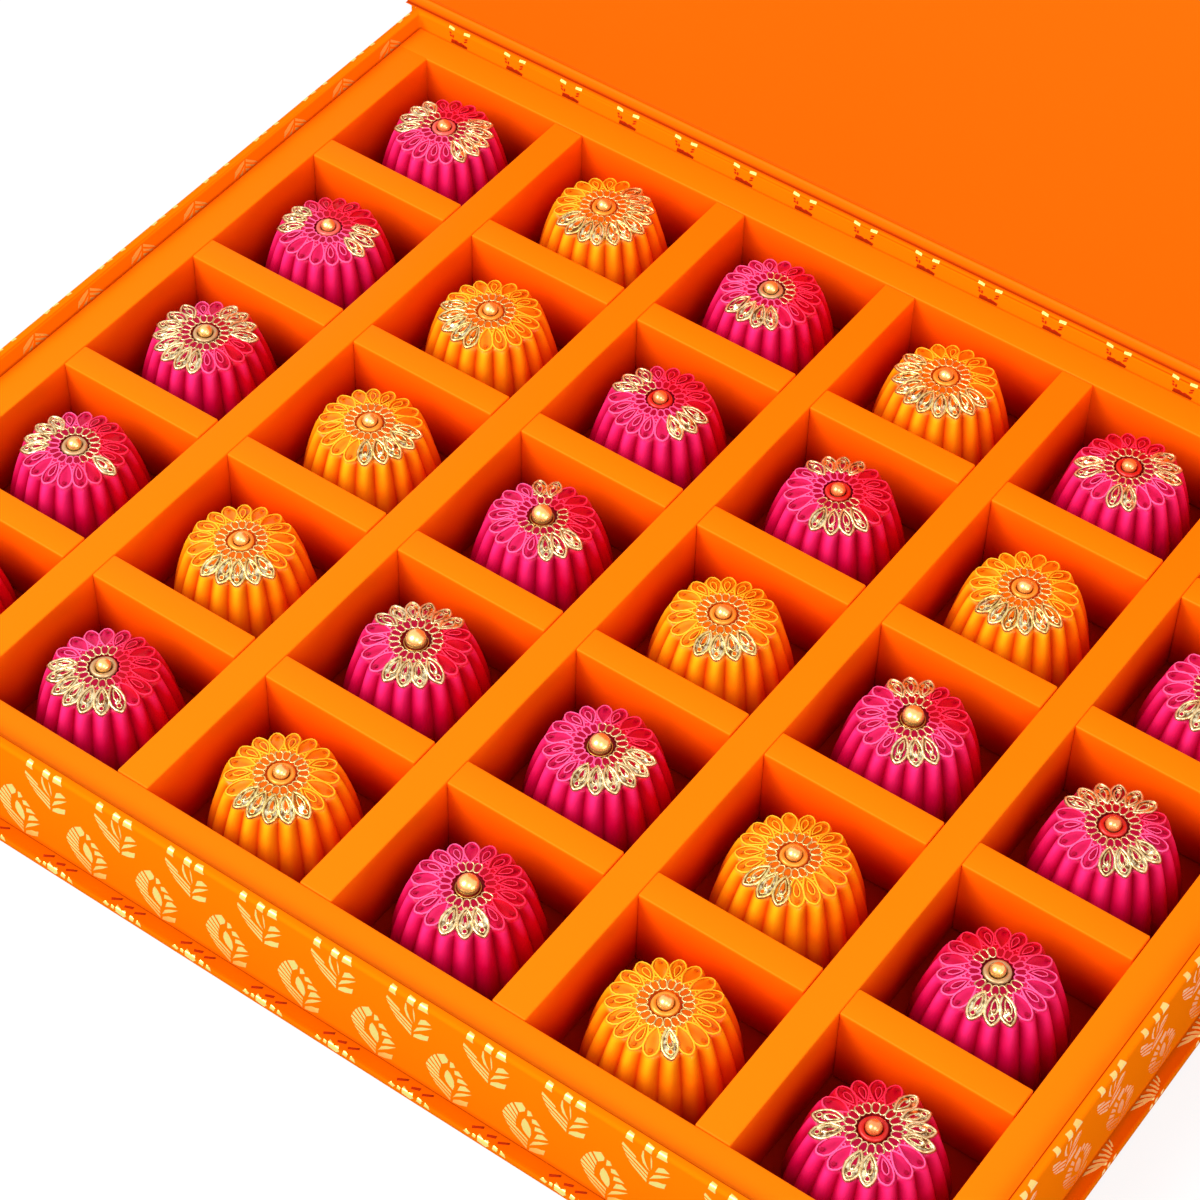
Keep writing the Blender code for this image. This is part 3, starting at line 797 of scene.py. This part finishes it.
def make_print(turn, lid_low, lid_high):
    """The foil print on the walls, the rims, the ledge, the spine and the lid."""
    leaf, rim_leaf = slimmed(LEAF), slimmed(RIM_LEAF)
    half_drop = (PITCH / 2, ROW_PITCH)
    leaves = cutouts(leaf, ((0, 0), half_drop))
    motif = unite("motif", [cutouts(leaf), cutouts(rim_leaf, (half_drop,))])
    rim, inside, bits, strokes, fan = map(
        cutouts, (RIM_PRINT, INSIDE_PRINT, LEDGE_BITS, LEDGE_STROKES, LEDGE_FAN))
    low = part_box("front_wall")[0] + Vector((PAPER_LIFT, PAPER_LIFT, 0))
    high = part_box("back_wall")[1] - Vector((PAPER_LIFT,) * 3)
    middle_y = (low.y + high.y) / 2
    wide = (high.x - low.x) / 2 - WALL_ROUND
    inner = wide - WALL_THICKNESS
    deep = (high.y - low.y) / 2 - WALL_ROUND
    base_low, base_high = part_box("base_board")
    reach = base_high.x - BOARD_ROUND
    side = (base_high.y - base_low.y) / 2 - BOARD_ROUND
    side_x = base_high.x - PAPER_LIFT
    spine_low, spine_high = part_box("spine_board")

    tray_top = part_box("tray_rail_front")[1].z - UNDER_TRAY_TOP
    over = rounded_route([(0, low.z + WALL_ROUND), (0, high.z), (-WALL_THICKNESS, high.z),
                          (-WALL_THICKNESS, tray_top)], WALL_ROUND)
    down = rounded_route([(0, tray_top), (0, high.z), (-MM, high.z)], WALL_ROUND)
    ledge = rounded_route([(0, BOARD_ROUND), (0, base_high.z), (-LEDGE_PRINTED, base_high.z)], BOARD_ROUND)
    up = rounded_route([(0, spine_low.z + BOARD_ROUND), (0, spine_high.z - BOARD_ROUND)], 0)
    outside = rounded_route([(0, BOARD_ROUND), (0, lid_high.y - lid_low.y - LID_MARGIN - BOARD_ROUND)], 0)

    front, back, right, left = (0, -1), (0, 1), (1, 0), (-1, 0)
    on_back_rim = on_face(front, WALL_THICKNESS - high.y)
    on_ledge = on_face(front, -base_low.y - PAPER_LIFT)
    full, narrow = (PITCH, 2 * ROW_PITCH), (SIDE_PITCH, 2 * ROW_PITCH)
    once, on_back = (PITCH, ONE_ROW), (BACK_PITCH, ONE_ROW)
    first = (FIRST_ROW - WALL_ROUND) / MM
    sheets = [print_sheet(*row) for row in (
        (motif, wide, over, on_face(front, -low.y), (4.65, first), full, FOIL),
        # The right wall's foil carries painted reflection below the rim
        (motif, deep, over, on_face(right, high.x, middle_y), (2.0, first), narrow, SIDE_FOIL_PAINTED_REFLECTION),
        (motif, deep, over, on_face(left, -low.x, middle_y), (6.0, first), full, FOIL),
        (rim, inner, down, on_back_rim, (0.85, 0.0), on_back, FOIL),
        # The inner face's print in the dark foil: painted shade
        (inside, inner, down, on_back_rim, (0.85, 0.0), on_back, SHADED_FOIL),
        (bits, reach, ledge, on_ledge, (-3.0, 0.0), once, FOIL),
        # The ledge's top strokes in the dark foil: painted shade
        (strokes, reach, ledge, on_ledge, (-3.0, 0.0), once, SHADED_FOIL),
        # The side fans in the lighter foil: painted light
        (fan, side, ledge, on_face(right, side_x), (3.0, 0.0), once, LIT_LEDGE_FOIL),
        (fan, side, ledge, on_face(left, side_x), (5.0, 0.0), once, LIT_LEDGE_FOIL),
        (leaves, reach, up, on_face(back, spine_high.y - PAPER_LIFT), (2.0, 0.2), full, FOIL))]
    mind(unite("foil_print", sheets), "case", "gold_foil")
    top = lid_high.z - PAPER_LIFT
    cover = print_sheet(
        leaves, reach, outside, lambda u, point: turn @ Vector((-u, lid_high.y - point.y, top + point.x)),
        (2.0, 3.0), full, FOIL)
    mind(unite("foil_lid", [cover]), "lid", "gold_foil")
    for obj in (leaves, motif, rim, inside, bits, strokes, fan):
        bpy.data.objects.remove(obj)


# Pralines


# Radius, height, flute depth and drop of the grooves at each step of the shell's outline, in mm
SHELL_STEPS = (
    (14.9, 0, 1, 0), (15.45, 0.45, 1.25, 0), (15.2, 3, 1.35, 0), (14.7, 6.3, 1.4, 0),
    (14.05, 9.5, 1.4, 0), (13.3, 12.5, 1.4, 0), (12.5, 15.2, 1.35, 0), (11.85, 17.2, 1.3, 0),
    (11.35, 18.5, 1.2, 0.05), (11, 19.15, 1.15, 0.15), (10.7, 19.42, 1.05, 0.35), (10.3, 19.6, 0.9, 0.5),
    (9.8, 19.77, 0.6, 0.5), (9.2, 19.96, 0.25, 0.42), (8.55, 20.15, 0.05, 0.3), (7.85, 20.32, 0, 0.16),
    (7.15, 20.46, 0, 0.06), (6.2, 20.57, 0, 0), (5.1, 20.65, 0, 0), (4, 20.68, 0, 0),
    (3.4, 20.62, 0, 0), (3.18, 20.4, 0, 0), (3.08, 20, 0, 0), (2.9, 19.9, 0, 0),
    (1.5, 19.9, 0, 0),
)
LACE_STEPS = SHELL_STEPS[9:21]

# Where each praline is gilded, from angle to angle: 0 is towards the camera and 90 to its right.
# Praline 15 stands in column 1 and row 5
GILDING = {
    15: (-160, -75, 20, 110), 14: (-140, -88, 32, 102), 13: (-150, -8, 72, 170), 12: (-150, -72, 33, 56),
    11: (-40, 40), 25: (-75, 150), 24: (-105, -18), 23: (-5, 85), 22: (-42, 42), 21: (-112, 32),
    35: (-72, 8), 34: (-175, -98, 8, 76), 33: (-12, 52, 165, 200), 32: (-38, 36, 125, 235), 31: (-58, 48),
    45: (-140, 48), 44: (-42, 42, 140, 222), 43: (-42, 52), 42: (-25, 88), 41: (-28, 30),
    55: (-110, -78, -42, 14, 62, 130), 54: (-82, 42), 53: (-32, 32, 150, 212), 52: (-72, -2), 51: (-8, 18),
    65: (-60, 20), 64: (-72, 20), 63: (-32, 60, 122, 228), 62: (-42, 20), 61: (-112, -70, -46, 4, 60, 140),
}

# The side that a praline is redder on, partly a real spray and partly painted shade, by the same angles,
# where it isn't the usual one
BLUSH_AND_SHADE_SIDES = {15: 160, 14: 140, 34: 120, 55: 170, 61: 175, 62: 175, 53: 130, 63: 160}

# Pink pralines whose inner ring of beads is gilded only in part
BEADING = {
    15: (-160, -75, 20, 110), 14: (), 12: (30, 250), 11: (-60, 60), 21: (-200, 40), 35: (40, 200),
    34: (-175, -98), 33: (-60, 110, 160, 205), 44: (-60, 60), 42: (0, 180), 41: (-60, 60, 150, 210),
    51: (-60, 60, 100, 170), 62: (-60, 60, 190, 250), 53: (-60, 60, 140, 220),
}

# Pralines with a large pearl in a thin ring. The others have a small one in a cup
LARGE_PEARLS = (33, 32, 42, 41, 53)
RUDDY_PEARLS = (15, 34, 44, 55, 63, 61)
CUPS = {**dict.fromkeys((15, 14), CORAL_CUP), **dict.fromkeys((34, 44, 55, 64, 63, 61), RED_CUP)}

CAMERA_SIDE = math.radians(-55.4)
ALL_ROUND = (0, 360)

# How the ends of a pointed petal and the corners of a bead are drawn out
POINTED = (1.05, 0.78)
BEAD_FORM = (0.78, 0.16)


def angle_of(at):
    return math.atan2(at.y, at.x)


def spun(angle):
    return Matrix.Rotation(angle, 4, "Z")


def flute_share(angle):
    """How far across its flute an angle lies, from 0 to 1."""
    return (angle * FLUTES / math.tau + 0.5) % 1.0


def ridge_share(angle):
    """1 on the back of a flute and 0 in the groove beside it: part round back, part soft wave."""
    across = flute_share(angle) * 2 - 1
    edge = math.sqrt(1 - BACK_ROUNDNESS ** 2)
    back = (math.sqrt(1 - (BACK_ROUNDNESS * across) ** 2) - edge) / (1 - edge)
    return 0.4 * back + 0.6 * (1 + math.cos(math.pi * across)) / 2


def dome_height(at):
    """The shell's height under a point of the lace."""
    radius = held(at.length / MM, LACE_STEPS[-1][0], LACE_STEPS[0][0])
    for outer, inner in zip(LACE_STEPS, LACE_STEPS[1:]):
        if inner[0] <= radius <= outer[0]:
            share = (outer[0] - radius) / (outer[0] - inner[0])
            height, drop = (a + (b - a) * share for a, b in zip(outer[1::2], inner[1::2]))
            return (height - drop * (1 - ridge_share(angle_of(at)))) * MM


def petal_width(share, near=1.05, far=0.62):
    """How wide a petal is along its length, as a share of its widest place."""
    top = near / (near + far)
    share = held(share)
    return share ** near * (1 - share) ** far / (top ** near * (1 - top) ** far)


def hollow_share(radius, angle):
    """1 in the middle of a petal's hollow and 0 outside it, for a radius in mm."""
    off = (flute_share(angle) - 0.5) * math.tau / FLUTES
    along, across = radius * math.cos(off), radius * math.sin(off)
    half = PETAL_WIDTH * 0.92 * petal_width((along - PETAL_START) / PETAL_LENGTH)
    if half < 0.05 or abs(across) >= half:
        return 0.0
    return (1 - (across / half) ** 2) * min(half / PETAL_WIDTH * 1.6, 1.0)


def make_shell():
    """The fluted body: a filled circle drawn up step by step, then pressed into flutes and petals."""
    obj = disc(FLUTES * FLUTE_STEPS, SHELL_STEPS[0][0] * MM)
    edit_all()
    for before, after in zip(SHELL_STEPS, SHELL_STEPS[1:]):
        draw_out(z=(after[1] - before[1]) * MM)
        share = after[0] / before[0]
        bpy.ops.transform.resize(value=(share, share, 1), center_override=(0, 0, after[1] * MM))
    close_up()
    for vert in obj.data.vertices:
        radius = math.hypot(vert.co.x, vert.co.y) / MM
        angle = angle_of(vert.co)
        step = min(SHELL_STEPS, key=lambda s: abs(s[0] - radius) + abs(s[1] - vert.co.z / MM))
        groove = 1 - ridge_share(angle)
        share = (step[0] - step[2] * groove) / radius
        rise = step[1] - step[3] * groove
        if vert.co.z > HOLLOWS_ABOVE * MM:
            rise -= HOLLOW_DEPTH * hollow_share(radius, angle)
        vert.co = (vert.co.x * share, vert.co.y * share, rise * MM)
    return smooth(obj, angle=38)


def wire_loop(path, wire, segments):
    """A ring bent to a closed line in plan, whose x is the distance from the praline's middle."""
    obj = torus(segments, 4, 1.0, wire * MM)
    for vert in obj.data.vertices:
        angle = angle_of(vert.co)
        off = math.hypot(vert.co.x, vert.co.y) - 1.0
        run = (path(angle + 0.02) - path(angle - 0.02)).normalized()
        at = path(angle) * MM + Vector((run.y, -run.x)) * off
        vert.co = (at.x, at.y, dome_height(at) + vert.co.z + WIRE_LIFT * wire * MM)
    return obj


def petal_path(start, length, width, *powers):
    """A petal's outline: wide past its middle and drawn in at the tip."""

    def path(angle):
        share = (1 - math.cos(angle)) / 2
        return Vector((start + length * share,
                       math.copysign(width * petal_width(share, *powers), -math.sin(angle))))

    return path


def oval_path(middle, long_half, wide_half, square=1.0, flare=0.0):
    """An oval, squared off and widened outwards as asked."""

    def path(angle):
        across, along = math.sin(angle), math.cos(angle)
        out = math.copysign(abs(along) ** square, along)
        return Vector((middle + long_half * out,
                       wide_half * (1 + flare * out) * math.copysign(abs(across) ** square, across)))

    return path


def hole(path, sides):
    """A thin disc at the bottom of an opening in the lace; in the hole finishes its dark tone is painted
    shade.
    """
    obj = disc(sides)
    for vert in obj.data.vertices:
        at = path(angle_of(vert.co)) * MM
        vert.co = (at.x, at.y, dome_height(at) + HOLE_LIFT * MM)
    edit_all()
    draw_out(z=-HOLE_DEPTH * MM)
    close_up()
    return obj


def make_flake():
    """The broken gold leaf in a gilded petal: a low faceted hill."""
    lay_down()
    bpy.ops.mesh.primitive_cone_add(vertices=9, radius1=1.0, radius2=0.0, depth=1.0)
    obj = bpy.context.object
    for vert in obj.data.vertices:
        if vert.co.z > 0:
            along, across, lift = 0.3, 0.18, 0.36
        else:
            along, across, lift = 1.5 * vert.co.x, 0.86 * vert.co.y * (1.0 + 0.3 * vert.co.x), -0.22
        at = Vector((FLAKE_AT + along, across)) * MM
        vert.co = (at.x, at.y, dome_height(at) + lift * MM)
    return obj


def make_ring(middle, thickness, height, turns):
    """The ring that the pearl sits in, a little twisted."""
    obj = torus(60, 8, middle * MM, thickness * MM)
    for vert in obj.data.vertices:
        angle = angle_of(vert.co)
        swell = 1 + 0.1 * math.cos(turns * angle)
        out = middle * MM + (math.hypot(vert.co.x, vert.co.y) - middle * MM) * swell
        vert.co = (out * math.cos(angle), out * math.sin(angle), height * MM + vert.co.z * swell)
    return obj


def make_pearl(radius, height):
    lay_down()
    bpy.ops.mesh.primitive_uv_sphere_add(segments=24, ring_count=14, radius=radius * MM,
                                         location=(0, 0, height * MM))
    obj = bpy.context.object
    obj.scale = (1, 1, 0.97)
    return smooth(settle(obj))


def gather(name, parts, finishes):
    """One mesh from many copies: each part is a piece, its place and the number of its finish."""
    gathered = bmesh.new()
    for piece, matrix, slot in parts:
        verts, faces = len(gathered.verts), len(gathered.faces)
        gathered.from_mesh(piece.data)
        gathered.verts.ensure_lookup_table()
        gathered.faces.ensure_lookup_table()
        bmesh.ops.transform(gathered, matrix=matrix, verts=gathered.verts[verts:])
        for face in gathered.faces[faces:]:
            face.material_index = slot
    mesh = bpy.data.meshes.new(name)
    gathered.to_mesh(mesh)
    gathered.free()
    for finish in finishes:
        mesh.materials.append(finish)
    return add_object(name, mesh)


def paint_praline(obj, shell_verts, middle, turn, blush_and_shade_side, strength):
    """Paints the redder side, partly a real spray and partly painted shade; the painted shade in the shell's
    grooves, hollows, foot and collar; and the painted highlight on its crests.
    """

    def spray_and_painted_light(vert):
        out = vert.co - middle
        angle, radius, height = angle_of(out), out.xy.length / MM, out.z / MM
        # Redder on one side: partly a real spray, partly painted shade away from the main lamp
        red = strength * held(((1 + math.cos(angle - blush_and_shade_side)) / 2 - 0.45) * 2.4)
        if vert.index >= shell_verts:
            return red, 0.0, 0.4
        # Painted shade in the grooves and towards the foot, and painted highlight on the crests near the top
        groove = 1 - ridge_share(angle - turn)
        if height < SHOULDER:
            foot = held((SHADED_FOOT - height) / SHADED_FOOT)
            crest = (1 - groove) * held((height - CRESTS_FROM) / CRESTS_RISE)
            return red, max(0.8 * groove ** 1.3, foot ** 0.85), crest
        # Painted shade in the collar round the pearl, and in the grooves and hollows of the dome
        if radius < COLLAR_RADIUS:
            return red, strength, 0.0
        return red, max(groove, hollow_share(radius, angle - turn)) * 0.5, 0.4

    paint(obj, spray_and_painted_light)


def gilded(edges, seen):
    """Whether this direction, an angle from the camera's side, lies between the edges of a zone."""
    return any((seen - start) % 360 <= end - start for start, end in zip(edges[::2], edges[1::2]))


def praline_pieces():
    """What the pralines are put together from, each piece made once."""
    return {
        "shell": make_shell(),
        "petal": wire_loop(petal_path(PETAL_START, PETAL_LENGTH, PETAL_WIDTH), 0.2, 16),
        "leaf": wire_loop(petal_path(PETAL_START, PETAL_LENGTH + 0.15, PETAL_WIDTH, *POINTED), 0.32, 16),
        "vein": wire_loop(petal_path(6.1, 3.0, 0.6), 0.13, 10),
        "rich_vein": wire_loop(petal_path(6.0, 3.1, 0.62), 0.2, 10),
        "knot": wire_loop(oval_path(6.3, 0.42, 0.36), 0.15, 6),
        "eye": wire_loop(oval_path(9.75, 0.5, 0.5), 0.16, 8),
        "bead": wire_loop(oval_path(4.22, 1.12, 0.72, *BEAD_FORM), 0.17, 10),
        "slit": hole(petal_path(6.3, 2.6, 0.38), 8),
        "bed": hole(petal_path(PETAL_START + 0.5, PETAL_LENGTH - 0.6, PETAL_WIDTH * 0.82, *POINTED), 12),
        "eye_hole": hole(oval_path(9.75, 0.4, 0.38), 6),
        "bead_hole": hole(oval_path(4.22, 0.92, 0.55, *BEAD_FORM), 8),
        "flake": make_flake(),
        "large_ring": make_ring(2.38, 0.19, 20.06, 20),
        "large_pearl": make_pearl(2.15, 20.95),
        "small_ring": make_ring(2.14, 0.56, 20.4, 3),
        "small_pearl": make_pearl(1.55, 21.05),
    }


def lay_flute(part, at, between, rich, fine, random):
    """What lies on one flute, as plain parts and gold ones: a petal, its vein, a knot, an eye, a bead."""
    wires = [(part["leaf" if rich else "petal"], at), (part["knot"], between)]
    plain, gold = [], []
    if rich or random.random() < VEINED_SHARE:
        aside = at @ spun(random.uniform(-VEIN_SWAY, VEIN_SWAY))
        wires.append((part["rich_vein" if rich else "vein"], aside))
        # The slit is a dark disc: painted shade in the vein's opening
        plain.append((part["slit"], at, 2))
    if rich:
        wires.append((part["eye"], at))
        if random.random() < BED_SHARE:
            gold.append((part["bed"], at, 2))
    (gold if rich else plain).extend((piece, lie, 0 if rich else 1) for piece, lie in wires)
    (gold if fine else plain).append((part["bead"], at, 0 if fine else 1))
    # The eye and bead holes are dark discs: painted shade in the openings
    plain += [(part["eye_hole"], at, 2), (part["bead_hole"], at, 2)]
    if rich:
        size = random.uniform(0.55, 1.0)
        twist = spun(random.uniform(-0.3, 0.3)) @ Matrix.Scale(size, 4)
        middle = FLAKE_AT * MM
        spot = Matrix.Translation((middle, 0, dome_height(Vector((middle, 0)))))
        gold.append((part["flake"], at @ spot @ twist @ spot.inverted(), 2))
    return plain, gold


def make_praline(column, row, part, random):
    """One praline: its chocolate, and all its gold as a second piece."""
    here = 10 * column + row
    node = f"chocolate_c{column}_r{row}"
    low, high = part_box(node)
    middle = Vector(((low.x + high.x) / 2, (low.y + high.y) / 2, low.z))
    turn = GOLDEN_TURN * ((column - 1) * ROWS + row - 1)
    pink = COLOUR_PLAN[column - 1][row - 1] == "p"
    size = "large" if here in LARGE_PEARLS else "small"
    stand = Matrix.Translation(middle)
    plain = [(part["shell"], stand @ spun(turn), 0)]
    gold = [(part[f"{size}_ring"], stand @ spun(turn), 3), (part[f"{size}_pearl"], stand, 1)]
    beading = BEADING.get(here, ALL_ROUND) if pink else ALL_ROUND
    for n in range(FLUTES):
        angle = turn + math.tau * n / FLUTES
        seen = math.degrees(angle - CAMERA_SIDE)
        at = stand @ spun(angle + random.uniform(-PETAL_SWAY, PETAL_SWAY))
        between = stand @ spun(angle + math.pi / FLUTES)
        laid = lay_flute(part, at, between, gilded(GILDING[here], seen), gilded(beading, seen), random)
        plain += laid[0]
        gold += laid[1]
    finishes = (PINK, PINK_LACE, PINK_HOLE_SHADE) if pink else (YELLOW, YELLOW_LACE, YELLOW_HOLE_SHADE)
    body = gather(f"praline_c{column}_r{row}", plain, finishes)
    # The redder side: partly a real spray, partly painted shade
    side = CAMERA_SIDE + math.radians(BLUSH_AND_SHADE_SIDES.get(here, USUAL_BLUSH_AND_SHADE))
    paint_praline(body, len(part["shell"].data.vertices), middle, turn, side, 1.0 if pink else 0.6)
    mind(body, node, "pink_chocolate" if pink else "yellow_chocolate", node)
    cup = THIN_RING if size == "large" else CUPS.get(here, BEIGE_CUP if pink else ORANGE_CUP)
    gilt = gather(f"gilding_c{column}_r{row}", gold, (
        GILT if pink else YELLOW_GILT, RUDDY_PEARL if here in RUDDY_PEARLS else PEARL, LEAF_GOLD, cup))
    mind(gilt, node, "gold_foil")


def make_pralines():
    pieces = praline_pieces()
    random = Random(7)
    for column in range(1, COLUMNS + 1):
        for row in range(1, ROWS + 1):
            make_praline(column, row, pieces, random)
    for piece in pieces.values():
        bpy.data.objects.remove(piece)


# Camera, floor and light


CAMERA_AT = (0.25432, -0.37719, 0.52704)
CAMERA_RIGHT = (0.81125, 0.58445, 0.01721)
CAMERA_UP = (-0.44618, 0.59977, 0.66422)
CAMERA_BACK = (0.37788, -0.54653, 0.74734)
CAMERA_LENS = 102.875

FLOOR_SIZE = 40.0
FLOOR_GLOW = 0.8
WHITE_FROM = 0.25
WHITE_AT = 0.9
ROOM_LIGHT = 0.42

# Place, aim, width, height and power of each lamp
LAMPS = {
    "front_left_softbox": ((-0.55, -1.0, 1.05), (0, 0, 0.02), 0.8, 0.8, 24.0),
    "front_right_softbox": ((0.9, -0.75, 1.1), (0, 0, 0.02), 0.7, 0.7, 9.0),
    "low_right_fill": ((0.95, -0.2, 0.12), (0.14, 0, 0.015), 0.5, 0.15, 2.2),
}


def make_camera():
    camera = add_object("camera", bpy.data.cameras.new("camera"))
    turn = Matrix((CAMERA_RIGHT, CAMERA_UP, CAMERA_BACK)).transposed().to_4x4()
    camera.matrix_world = Matrix.Translation(CAMERA_AT) @ turn
    camera.data.sensor_width = 36.0
    camera.data.lens = CAMERA_LENS
    bpy.context.scene.camera = camera


def make_floor():
    """A white floor that keeps the shadow, and shows white to the camera and in the metal."""
    lay_down()
    bpy.ops.mesh.primitive_plane_add(size=FLOOR_SIZE, location=(0, 0, 0))
    floor = settle(bpy.context.object)
    floor.name = "floor"
    finish = Finish("white_floor", Roughness=0.9, Specular_IOR_Level=0.1)
    finish.set("Base Color", (0.2, 0.2, 0.2))
    camera, glossy = (finish.node("ShaderNodeLightPath", out=f"Is {ray} Ray") for ray in ("Camera", "Glossy"))
    plain = Signal(finish, finish.shader.outputs[0])
    glow, white = (finish.node("ShaderNodeEmission", {"Color": FULL_TONE, "Strength": strength})
                   for strength in (FLOOR_GLOW, 1.0))
    lit = finish.node("ShaderNodeAddShader", {0: plain, 1: glow})
    away = finish.node("ShaderNodeVectorMath", {0: finish.place()}, out=1, operation="LENGTH")
    far = finish.node("ShaderNodeMapRange", {0: away, 1: WHITE_FROM, 2: WHITE_AT},
                      interpolation_type="SMOOTHSTEP")
    lit = finish.node("ShaderNodeMixShader", {0: far, 1: lit, 2: white})
    mixed = finish.node("ShaderNodeMixShader", {0: (camera + glossy).clamped(), 1: plain, 2: lit})
    finish.feed(finish.tree.nodes["Material Output"].inputs["Surface"], mixed)
    floor.data.materials.append(finish.material)


def make_light():
    """A pale room with a large soft lamp in front on the left and weak ones on the right."""
    for name, (where, aim, width, height, power) in LAMPS.items():
        light = bpy.data.lights.new(name, "AREA")
        light.shape, light.size, light.size_y, light.energy = "RECTANGLE", width, height, power
        lamp = add_object(name, light)
        lamp.location = where
        lamp.rotation_euler = (Vector(aim) - Vector(where)).to_track_quat("-Z", "Y").to_euler()
    world = bpy.context.scene.world or bpy.data.worlds.new("world")
    bpy.context.scene.world = world
    world.use_nodes = True
    tree = world.node_tree
    room = tree.nodes["Background"]
    white = tree.nodes.new("ShaderNodeBackground")
    for shade, strength in ((room, ROOM_LIGHT), (white, 1.0)):
        shade.inputs["Color"].default_value = (1, 1, 1, 1)
        shade.inputs["Strength"].default_value = strength
    path = tree.nodes.new("ShaderNodeLightPath")
    either = tree.nodes.new("ShaderNodeMath")
    either.operation = "MAXIMUM"
    mix = tree.nodes.new("ShaderNodeMixShader")
    for start, number, end, socket in (
            (path, "Is Camera Ray", either, 0), (path, "Is Glossy Ray", either, 1), (either, 0, mix, 0),
            (room, 0, mix, 1), (white, 0, mix, 2), (mix, 0, tree.nodes["World Output"], "Surface")):
        tree.links.new(start.outputs[number], end.inputs[socket])


make_camera()
make_case_walls()
make_base_and_spine()
make_tray()
turn_open, hinge_axis = hinge_turn()
lid_low, lid_high = make_lid(turn_open)
make_hinge_paper(hinge_axis)
make_print(turn_open, lid_low, lid_high)
make_pralines()
# The tray's floor takes the dark tone: painted shade at the bottom of the compartments
frame["nodes"]["tray_floor"].data.materials.clear()
frame["nodes"]["tray_floor"].data.materials.append(SHADED_FLOOR_CARD)
make_floor()
make_light()
bpy.context.scene.view_settings.view_transform = "Standard"
